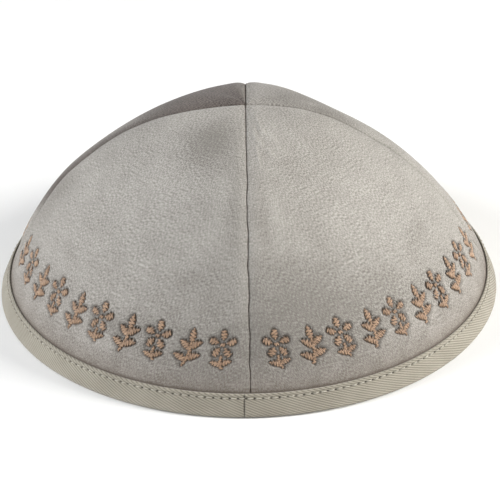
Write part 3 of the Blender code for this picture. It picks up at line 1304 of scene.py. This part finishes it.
        # Painted shade: dark lines in the seam clefts, along the top edge of the binding and round the
        # embroidery.
        broken = 0.68 + 0.2 * np.sin(climb / (1.1 * MM)) + 0.12 * np.sin(climb / (0.47 * MM) + 1)
        cleft = broken * np.exp(-((from_seam / (0.17 * MM)) ** 2))
        past_edge = np.maximum(climb - self.tape_edge, 0)
        tape_edge = self.tape_edge_shadow_tone * np.exp(-((past_edge / (0.3 * MM)) ** 2))
        outline = self.outline_shadow_tone * (1 - smooth_step(-0.1 * MM, 0.5 * MM, near))
        painted_shade_lines = np.maximum(np.maximum(cleft, tape_edge), outline)
        write_attribute(mesh, "cleft", painted_shade_lines * (1 - inside))
        close_mesh(mesh)
        return mesh

    def cut_size(self) -> tuple[float, float, float]:
        """Width, length and area of the gore as it was cut flat."""
        position = np.linspace(float(self.start_position()), float(APEX_LEVEL), 400)
        turn = np.linspace(0, 1, 200)
        grid_position, grid_turn = np.meshgrid(position, turn, indexing="ij")
        points = self.shape.place(self.gore, grid_position, grid_turn)
        across = np.linalg.norm(np.diff(points, axis=1), axis=-1)
        upward = np.linalg.norm(np.diff(points, axis=0), axis=-1)
        length = float(upward[:, 100].sum())
        widths = across.sum(axis=1)
        area = float(((widths[1:] + widths[:-1]) / 2 * upward.mean(axis=1)).sum())
        return float(widths.max()), length, area

    def dress(self, material: bpy.types.Material) -> bpy.types.Object:
        """Build the gore, give it its finish and put it in place of its solid.

        Args:
            material: The velvet.

        Returns:
            The piece.
        """
        piece = show(self.build(), material)
        width, length, area = self.cut_size()
        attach(piece, BODY)
        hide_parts(f"crown_gore_{self.gore.name}")
        LOG.info("%s: cut %.1f by %.1f mm", piece.name, width / MM, length / MM)
        return piece


@dataclass(frozen=True)
class TwillBinding:
    """Tape folded over the rim, sewn on near its upper edge, with its join at the front."""

    shape: CrownShape
    thickness: float = 0.7 * MM
    clearance: float = 0.3 * MM
    stitches: int = 196
    row_drop: float = 1.45 * MM
    join_offset: float = -2.0 * MM
    fold_radius: float = 1.3 * MM
    edge_round: float = 0.15 * MM
    outer_steps: int = 20
    fold_steps: int = 8
    inner_steps: int = 5
    steps_in_stitch: tuple[float, ...] = (0.0, 0.08, 0.2, 0.38, 0.62, 0.8, 0.92)
    join_step: int = 5
    puff_height: float = 0.10 * MM
    ripple_height: float = 0.03 * MM
    lap_height: float = 0.12 * MM
    groove_depth: float = 0.14 * MM
    hole_depth: float = 0.5 * MM
    join_depth: float = 0.32 * MM

    @property
    def lean(self) -> float:
        """Angle of the crown's foot from upright."""
        low, high = self.wall(0.0), self.wall(self.shape.binding_height)
        return math.atan2(low - high, self.shape.binding_height)

    @property
    def row_height(self) -> float:
        """Height of the row of stitches above the rim plane."""
        return self.shape.binding_height - self.row_drop * math.cos(self.lean)

    @property
    def outer(self) -> float:
        """Level way from the velvet's face to the tape's outer face."""
        return self.clearance + self.thickness

    @property
    def inner(self) -> float:
        """Level way from the velvet's face to the tape's inner face, which lies inwards."""
        wall = self.shape.velvet_thickness / math.cos(self.lean)
        return -(wall + self.clearance + self.thickness)

    def wall(self, height: float) -> float:
        """Radius of the velvet's outer face at a height in the binding."""
        low, high = CROWN_LEVELS[0], CROWN_LEVELS[1]
        share = height / self.shape.crown_height / (high.height - low.height)
        return self.shape.foot_radius * (low.front + (high.front - low.front) * share)

    def outline(self) -> np.ndarray:
        """Closed section of the tape, from its top outer edge down, round the fold and back.

        Returns:
            A row for each point: its radius, its height and 1 where it shows outside, else 0.
        """
        top = self.shape.binding_height
        shoulder = top - self.edge_round
        row = shoulder - self.row_height
        drops = spread(
            self.outer_steps, shoulder - self.fold_radius,
            lambda drop: 1 + 2.2 * np.exp(-(((drop - row) / (0.5 * MM)) ** 2)),
        )
        section = [(self.wall(shoulder - drop) + self.outer, shoulder - drop, 1.0) for drop in drops]
        middle, half = (self.outer + self.inner) / 2, (self.outer - self.inner) / 2
        for step in range(1, self.fold_steps):
            angle = math.pi * step / self.fold_steps
            height = self.fold_radius * (1 - math.sin(angle))
            section.append((
                self.wall(height) + middle + half * math.cos(angle), height, float(angle < 1.2)
            ))
        for step in range(self.inner_steps + 1):
            height = self.fold_radius + (shoulder - self.fold_radius) * step / self.inner_steps
            section.append((self.wall(height) + self.inner, height, 0.0))
        hidden = (
            (self.inner + self.thickness / 2, top),
            (self.inner + self.thickness, shoulder),
            (self.inner + self.thickness, self.fold_radius),
            (middle, self.thickness),
            (self.clearance, self.fold_radius),
            (self.clearance, shoulder),
            (self.outer - self.thickness / 2, top),
        )
        section.extend((self.wall(height) + offset, height, 0.0) for offset, height in hidden)
        return np.array(section)

    @property
    def join_angle(self) -> float:
        """Angle round the rim of the tape's join."""
        return -QUARTER_TURN + self.join_offset / self.shape.foot_radius

    def stitch_angle(self, number: np.ndarray | float) -> np.ndarray | float:
        """Angle round the rim of a needle hole, the first of which is just past the join."""
        past_join = 1 - self.steps_in_stitch[self.join_step]
        return self.join_angle + TURN * (number + past_join) / self.stitches

    def build(self) -> bpy.types.Mesh:
        """Bend a grid round the rim and round its section, with needle holes and the join."""
        section = self.outline()
        rows = len(section)
        steps = len(self.steps_in_stitch)
        columns = self.stitches * steps
        bm = bmesh.new()
        bmesh.ops.create_grid(bm, x_segments=columns, y_segments=rows, size=0.5)
        mesh = bpy.data.meshes.new("twill_binding")
        bm.to_mesh(mesh)
        bm.free()

        grid = read_points(mesh)
        column = np.rint((grid[:, 0] + 0.5) * columns).astype(int) + self.join_step
        row = np.rint((0.5 - grid[:, 1]) * rows).astype(int)
        share = np.array(self.steps_in_stitch)[column % steps]
        angle = self.stitch_angle(column // steps - 1 + share)
        radius, height, shown = section[row % rows].T
        rim = self.shape.foot_radius
        from_row = (height - self.row_height) / math.cos(self.lean)
        from_hole = np.hypot(from_row, np.minimum(share, 1 - share) * TURN * rim / self.stitches)
        number = np.rint(column / steps).astype(int) % self.stitches
        way = (angle - self.join_angle) * rim
        from_join = np.minimum(way, TURN * rim - way)
        pull = np.random.default_rng(11).uniform(0.5, 1.0, self.stitches)[number]
        pull = pull + 0.35 * np.exp(-((from_join / (10 * MM)) ** 2))
        hole = np.exp(-((from_hole / (0.27 * MM)) ** 2)) * pull
        groove = np.exp(-((from_row / (0.55 * MM)) ** 2))
        puff = np.sin(math.pi * np.clip(height / self.row_height, 0, 1))
        ripple = np.sin(angle * 23) + 0.6 * np.sin(angle * 57 + 1.3)
        join = np.exp(-((from_join / (0.17 * MM)) ** 2))
        lap = np.exp(-way / (2.5 * MM))
        proud = (
            self.puff_height * puff + self.ripple_height * ripple * puff + self.lap_height * lap
            - self.groove_depth * groove - self.hole_depth * hole - self.join_depth * join
        ) * shown
        radius = radius + proud * math.cos(self.lean)
        height = height + proud * math.sin(self.lean)
        write_points(mesh, np.stack((radius * np.cos(angle), radius * np.sin(angle), height), axis=-1))
        # Painted shade in the needle holes and along the join.
        write_attribute(mesh, "hole", np.clip(1.25 * hole + 0.55 * join, 0, 1) * shown)
        closed = np.vstack((section, section[:1]))[:, :2]
        down = np.concatenate(((0.0,), np.cumsum(np.hypot(*np.diff(closed, axis=0).T))))
        write_uv(mesh, np.stack((way, -down[row]), axis=-1)[corner_points(mesh)])
        close_mesh(mesh)
        return mesh

    def tape_width(self) -> float:
        """Width of the tape before it was folded."""
        leg = (self.shape.binding_height - self.fold_radius) / math.cos(self.lean)
        return 2 * leg + math.pi * self.fold_radius

    def dress(self, material: bpy.types.Material) -> bpy.types.Object:
        """Build the binding, give it its finish and put it in place of its solid.

        Args:
            material: The twill.

        Returns:
            The piece.
        """
        piece = show(self.build(), material)
        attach(piece, BODY)
        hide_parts("rim_binding")
        length = TURN * self.shape.foot_radius
        self.tape_width()
        LOG.info("%s: cut %.1f by %.1f mm", piece.name, length / MM, self.tape_width() / MM)
        return piece


@dataclass(frozen=True)
class RimStitches:
    """Stitches between the needle holes of the binding."""

    binding: TwillBinding
    radius: float = 0.17 * MM
    reach: float = 0.74
    rise: float = 0.34
    sinking: float = 0.16
    bedding: float = 0.12 * MM

    def dress(self, material: bpy.types.Material) -> bpy.types.Object:
        """Build the row of stitches and give it its finish.

        Args:
            material: The sewing thread.

        Returns:
            The piece.
        """
        template = StrandTemplate(sides=8, rings=6)
        strand, faces = template.shape()
        number = np.arange(self.binding.stitches)[:, None]
        along = strand[:, 0]
        thick = self.radius * (1 - 0.5 * (2 * np.abs(along)) ** 3)
        angle = self.binding.stitch_angle(number + 0.5 + along * self.reach)
        bow = self.rise * (1 - (2 * along) ** 2) - self.sinking
        height = self.binding.row_height + strand[:, 1] * thick
        wall = self.binding.wall(self.binding.row_height) + self.binding.outer
        radius = wall - self.bedding + bow * MM + strand[:, 2] * thick
        height = height + (bow * MM + strand[:, 2] * thick) * math.sin(self.binding.lean)
        places = np.stack((
            radius * np.cos(angle), radius * np.sin(angle), np.broadcast_to(height, angle.shape)
        ), axis=-1)
        mesh = template.field_mesh("rim_stitches", places, faces)
        length = TURN * self.binding.shape.foot_radius / self.binding.stitches
        around = np.arctan2(strand[:, 1], -strand[:, 2]) / TURN
        flat = np.stack((along * length * self.reach, around), axis=-1)
        flat = np.tile(flat, (self.binding.stitches, 1))
        write_uv(mesh, flat[corner_points(mesh)])
        random = np.random.default_rng(5)
        tone = random.uniform(0.45, 1.0, self.binding.stitches)
        write_attribute(mesh, "tone", np.repeat(tone, len(strand)))
        # Painted shadow where each stitch goes down into its needle hole.
        sunk = np.tile(smooth_step(0.8, 1.0, 2 * np.abs(along)), self.binding.stitches)
        write_attribute(mesh, "sunk", sunk * 0.7)
        close_mesh(mesh)
        piece = show(mesh, material)
        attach(piece, BODY)
        return piece


@dataclass(frozen=True)
class EmbroideredBorder:
    """Satin-stitched ornaments of one gore, each thread a strand laid across its stroke."""

    gore: Gore
    shape: CrownShape
    plan: BorderPlan
    seed: int
    thread_radius: float = 0.25 * MM
    floor: float = 0.40 * MM
    overrun: float = 0.26 * MM
    tuft_radius: float = 0.075 * MM
    tuft_length: float = 0.8 * MM
    tufts_at_end: int = 4
    wobble: float = 0.035 * MM
    tuft_scatter: float = 0.22 * MM
    tuft_rise: float = 0.27 * MM

    def lay(self, flat: np.ndarray, lift: np.ndarray) -> np.ndarray:
        """Points on the gore from places on the flat border and heights over the pile."""
        turn = self.shape.turn_at(self.gore, flat[..., 0])
        position = self.shape.position_at(flat[..., 1])
        return self.shape.place(self.gore, position, turn, lift)

    def threads(self) -> bpy.types.Mesh:
        """Mesh of all the threads."""
        template = StrandTemplate(sides=6, rings=5)
        strand, faces = template.shape()
        satin = self.plan.satin(self.gore)
        random = np.random.default_rng(self.seed)
        count = len(satin.left)
        wobble = random.normal(0, self.wobble, (count, 2, 2))
        left = (satin.left + wobble[:, 0])[:, None]
        right = (satin.right + wobble[:, 1])[:, None]
        run = right - left
        length = np.linalg.norm(run, axis=-1, keepdims=True)
        side = np.stack((-run[..., 1], run[..., 0]), axis=-1) / length
        along = strand[:, 0]
        end = 2 * np.abs(along)
        thick = self.thread_radius * (1 - 0.3 * end**4)
        stretch = 1 + 2 * self.overrun / length
        aside = side * (strand[:, 1] * thick)[:, None]
        flat = (left + right) / 2 + run * stretch * along[:, None] + aside
        height = satin.rise[:, None] * (1 - end**2.4) - self.floor
        height = height + random.normal(0, 0.02 * MM, (count, 1))
        points = self.lay(flat, height + strand[:, 2] * thick * 0.85)
        mesh = template.field_mesh(f"embroidery_{self.gore.name}", points, faces)
        around = np.arctan2(strand[:, 1], -strand[:, 2]) / TURN
        place = np.stack(
            (along * length[..., 0], np.broadcast_to(around, (count, len(around)))), axis=-1
        )
        write_uv(mesh, place.reshape(-1, 2)[corner_points(mesh)])
        tone = np.clip(random.normal(0.6, 0.26, count), 0, 1)
        write_attribute(mesh, "tone", np.repeat(tone, len(strand)))
        # Painted shadow where the threads go down into the pile, reaching further along their upper
        # ends.
        uphill = np.sign(run[..., 1]) * along
        steep = np.clip(np.abs(run[..., 1]) / length[..., 0] * 1.6, 0, 1)
        hidden = self.overrun + steep * random.uniform(0.15 * MM, 0.75 * MM, (count, 1)) * (uphill > 0)
        start = np.maximum(1 - 2 * (hidden + 0.15 * MM) / (length[..., 0] + 2 * self.overrun), 0.15)
        sunk = smooth_step(0.0, 0.6, (end - start) / (1.0 - start))
        write_attribute(mesh, "sunk", sunk.ravel())
        close_mesh(mesh)
        return mesh

    def tufts(self) -> bpy.types.Mesh:
        """Mesh of the tufts of pile that lean over the upper edges of the stitching."""
        template = StrandTemplate(sides=3, rings=3)
        strand, faces = template.shape()
        random = np.random.default_rng(self.seed + 100)
        satin = self.plan.satin(self.gore)
        roots = np.concatenate((satin.left, satin.right))
        middles = np.tile((satin.left + satin.right) / 2, (2, 1))
        outward = roots - middles
        outward /= np.maximum(np.hypot(*outward.T)[:, None], WELD_DISTANCE)
        upper = outward[:, 1] > 0.15
        roots, outward = roots[upper], outward[upper]
        clear = self.plan.distance(self.gore, *(roots + outward * 0.3 * MM).T) > 0.1 * MM
        roots, outward = roots[clear], outward[clear]
        roots, outward = (np.repeat(ends, self.tufts_at_end, axis=0) for ends in (roots, outward))
        count = len(roots)
        roots = roots + outward * 0.5 * MM + random.normal(0, self.tuft_scatter, (count, 2))
        way = np.stack((random.normal(0, 0.4, count), np.full(count, -1.0)), axis=-1) - outward * 0.35
        way /= np.hypot(*way.T)[:, None]
        side = np.stack((-way[:, 1], way[:, 0]), axis=-1)
        share = np.clip(strand[:, 0] + 0.5, 0, 1)
        thick = self.tuft_radius * (1 - share) ** 0.6
        length = self.tuft_length * random.uniform(0.45, 1.1, (count, 1))
        flat = (
            roots[:, None] + way[:, None] * (share * length)[..., None]
            + side[:, None] * (strand[:, 1] * thick)[None, :, None]
        )
        height = -0.12 * MM + self.tuft_rise * np.sin(share * 1.7) + strand[:, 2] * thick
        points = self.lay(flat, np.broadcast_to(height, flat.shape[:2]))
        mesh = template.field_mesh(f"pile_tufts_{self.gore.name}", points, faces)
        write_uv(mesh, flat.reshape(-1, 2)[corner_points(mesh)])
        close_mesh(mesh)
        return mesh

    def dress(self, thread: bpy.types.Material, velvet: bpy.types.Material) -> None:
        """Build the stitching and the tufts over it, and give them their finishes.

        Args:
            thread: The embroidery thread.
            velvet: The velvet, for the tufts.
        """
        for mesh, material, slot in (
            (self.threads(), thread, "embroidery_thread"), (self.tufts(), velvet, "velvet")
        ):
            piece = show(mesh, material)
            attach(piece, BODY)


@dataclass(frozen=True)
class AreaLamp:
    """A soft box that faces the kippah."""

    name: str
    azimuth: float
    elevation: float
    distance: float
    size: float
    power: float
    colour: Colour = (1.0, 1.0, 1.0)

    def place(self, target: Vector) -> None:
        """Put the lamp in the scene, turned towards a point."""
        data = bpy.data.lights.new(self.name, "AREA")
        data.shape = "DISK"
        data.size = self.size
        data.energy = self.power
        data.color = self.colour
        lamp = bpy.data.objects.new(self.name, data)
        azimuth, elevation = math.radians(self.azimuth), math.radians(self.elevation)
        away = Vector((
            math.sin(azimuth) * math.cos(elevation),
            -math.cos(azimuth) * math.cos(elevation),
            math.sin(elevation),
        ))
        lamp.location = target + away * self.distance
        lamp.rotation_mode = "QUATERNION"
        lamp.rotation_quaternion = away.to_track_quat("Z", "Y")
        bpy.context.scene.collection.objects.link(lamp)


@dataclass(frozen=True)
class Studio:
    """Pale floor, soft light and the photograph's camera."""

    elevation: float = 29.91
    roll: float = 0.99
    distance: float = 1.0
    lens: float = 205.6
    target: Vector = field(default_factory=lambda: Vector((0.00063, 0, 0.01345)))
    floor_radius: float = 8.0
    floor_colour: Colour = (0.86, 0.86, 0.855)
    floor_drop: float = 0.05 * MM
    lit_height: float = 0.03
    lamps: tuple[AreaLamp, ...] = (
        AreaLamp("right_box", 84, 28, 0.9, 0.5, 11.5, (1.0, 0.985, 0.95)),
        AreaLamp("left_box", -82, 28, 0.9, 0.5, 8.5, (0.965, 0.98, 1.0)),
        AreaLamp("front_box", 10, 35, 1.2, 0.9, 1.5),
    )
    horizon: float = 0.55
    zenith: float = 0.16

    def camera(self) -> None:
        """Make the camera at the photograph's viewing angle."""
        data = bpy.data.cameras.new("camera")
        data.sensor_width = 36.0
        data.lens = self.lens
        data.clip_start = 0.05
        data.clip_end = 50.0
        camera = bpy.data.objects.new("camera", data)
        rise, roll = math.radians(self.elevation), math.radians(self.roll)
        level_right = Vector((1, 0, 0))
        level_up = Vector((0, math.sin(rise), math.cos(rise)))
        back = Vector((0, -math.cos(rise), math.sin(rise)))
        right = level_right * math.cos(roll) - level_up * math.sin(roll)
        up = level_up * math.cos(roll) + level_right * math.sin(roll)
        camera.rotation_mode = "QUATERNION"
        camera.rotation_quaternion = Matrix((right, up, back)).transposed().to_quaternion()
        camera.location = self.target + back * self.distance
        bpy.context.scene.collection.objects.link(camera)
        bpy.context.scene.camera = camera

    def floor(self) -> None:
        """Lay the floor just under the rim."""
        bm = bmesh.new()
        bmesh.ops.create_circle(bm, cap_ends=True, segments=96, radius=self.floor_radius)
        bmesh.ops.translate(bm, verts=bm.verts[:], vec=(0, 0, -self.floor_drop))
        mesh = bpy.data.meshes.new("floor")
        bm.to_mesh(mesh)
        bm.free()
        material, graph, shader = new_material("floor")
        graph.feed(shader.inputs["Base Color"], self.floor_colour)
        graph.feed(shader.inputs["Roughness"], 0.9)
        mesh.materials.append(material)
        floor = bpy.data.objects.new("floor", mesh)
        bpy.context.scene.collection.objects.link(floor)

    def light(self) -> None:
        """Light the scene evenly, with a soft box on each side."""
        world = bpy.data.worlds.new("studio")
        world.use_nodes = True
        world.node_tree.nodes.clear()
        graph = Graph(world.node_tree)
        way = graph.add("SeparateXYZ", {0: graph.add("TexCoord").outputs["Generated"]})
        rise = graph.math("POWER", graph.math("ABSOLUTE", way.outputs[2]), 0.7)
        strength = graph.math("MULTIPLY_ADD", rise, self.zenith - self.horizon, self.horizon)
        sky = graph.add("Background", {"Color": (1.0, 1.0, 1.0), "Strength": strength})
        graph.add("OutputWorld", {"Surface": sky.outputs[0]})
        bpy.context.scene.world = world
        for lamp in self.lamps:
            lamp.place(Vector((0, 0, self.lit_height)))

    def set_up(self) -> None:
        """Make the camera, floor and light."""
        self.camera()
        self.floor()
        self.light()
        bpy.context.scene.view_settings.view_transform = "Standard"


def main() -> None:
    """Build the studio, then dress each sub-assembly in turn."""
    logging.basicConfig(level=logging.INFO, format="%(name)s %(message)s")
    Studio().set_up()
    low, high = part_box("rim_binding")
    _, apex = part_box("crown_gore_front_left")
    edge_allowance = 1.0 * MM
    pile_allowance = 0.2 * MM
    shape = CrownShape(
        foot_radius=(high.x - low.x) / 2 - edge_allowance,
        crown_height=apex.z + pile_allowance,
        binding_height=high.z,
    )
    effects = Effects()
    velvet = VelvetFinish(effects).material()
    twill = TapeFinish(effects).material()
    tan_thread = ThreadFinish(
        effects, "embroidery_thread",
        light=(0.42, 0.275, 0.175), dark=(0.20, 0.12, 0.07), sunk=(0.035, 0.02, 0.012),
    ).material()
    sewing_thread = ThreadFinish(
        effects, "sewing_thread",
        light=(0.52, 0.49, 0.42), dark=(0.30, 0.27, 0.22), sunk=(0.08, 0.07, 0.055),
    ).material()
    plan = BorderPlan(shape)
    binding = TwillBinding(shape)
    binding.dress(twill)
    RimStitches(binding).dress(sewing_thread)
    for seed, gore in enumerate(GORES):
        VelvetGore(gore, shape, plan).dress(velvet)
        EmbroideredBorder(gore, shape, plan, seed).dress(tan_thread, velvet)


if __name__ == "__main__":
    main()
